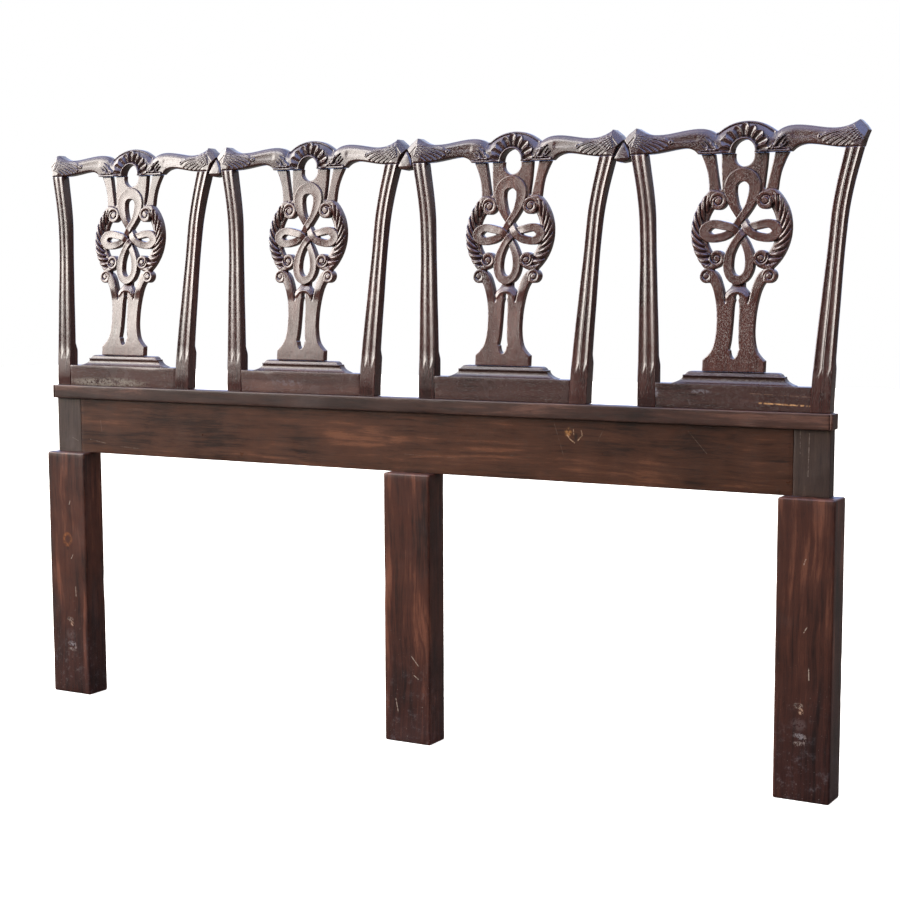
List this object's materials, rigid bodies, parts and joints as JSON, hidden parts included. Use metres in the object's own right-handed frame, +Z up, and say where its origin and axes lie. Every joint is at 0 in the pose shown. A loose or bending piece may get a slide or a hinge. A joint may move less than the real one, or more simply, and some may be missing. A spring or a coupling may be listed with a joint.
{
  "type": "headboard",
  "caption": "Bed headboard: a row of carved, pierced chair backs with fluted stiles and shell crests standing on a plain rail with square block legs.",
  "frame": {"origin": "on the floor, under the middle of the overall width and depth", "axes": "+X along the headboard to the right seen from the bed, +Y away from the bed, +Z up; the carved front faces -Y"},
  "size_m": [2.0898, 0.1112, 1.3618],
  "materials": {
    "leg": "polished, aged",
    "rail": "polished, aged",
    "rail_end": "polished, aged",
    "cap": "polished, aged",
    "back": "polished, aged",
    "splat": "polished, aged",
    "joinery": "unfinished, hidden"
  },
  "bodies": {
    "root": {"back1_crest": "back", "back1_seat_rail": "back", "back1_shoe": "back", "back1_stile_left": "back", "back1_stile_right": "back", "back1_splat": "splat", "back1_crest_peg_left": "joinery", "back1_crest_peg_right": "joinery", "back1_dowel_left": "joinery", "back1_dowel_right": "joinery", "back2_crest": "back", "back2_seat_rail": "back", "back2_shoe": "back", "back2_stile_left": "back", "back2_stile_right": "back", "back2_splat": "splat", "back2_crest_peg_left": "joinery", "back2_crest_peg_right": "joinery", "back2_dowel_left": "joinery", "back2_dowel_right": "joinery", "back3_crest": "back", "back3_seat_rail": "back", "back3_shoe": "back", "back3_stile_left": "back", "back3_stile_right": "back", "back3_splat": "splat", "back3_crest_peg_left": "joinery", "back3_crest_peg_right": "joinery", "back3_dowel_left": "joinery", "back3_dowel_right": "joinery", "back4_crest": "back", "back4_seat_rail": "back", "back4_shoe": "back", "back4_stile_left": "back", "back4_stile_right": "back", "back4_splat": "splat", "back4_crest_peg_left": "joinery", "back4_crest_peg_right": "joinery", "back4_dowel_left": "joinery", "back4_dowel_right": "joinery", "cap_band": "cap", "cap_return_left": "cap", "cap_return_right": "cap", "leg_left": "leg", "leg_centre": "leg", "leg_right": "leg", "leg_tenon_left": "joinery", "leg_tenon_centre": "joinery", "leg_tenon_right": "joinery", "rail_board": "rail", "rail_end_left": "rail_end", "rail_end_right": "rail_end", "rail_tongue_left": "joinery", "rail_tongue_right": "joinery", "spacer_1": "back", "spacer_2": "back", "spacer_3": "back"}
  },
  "joints": []
}
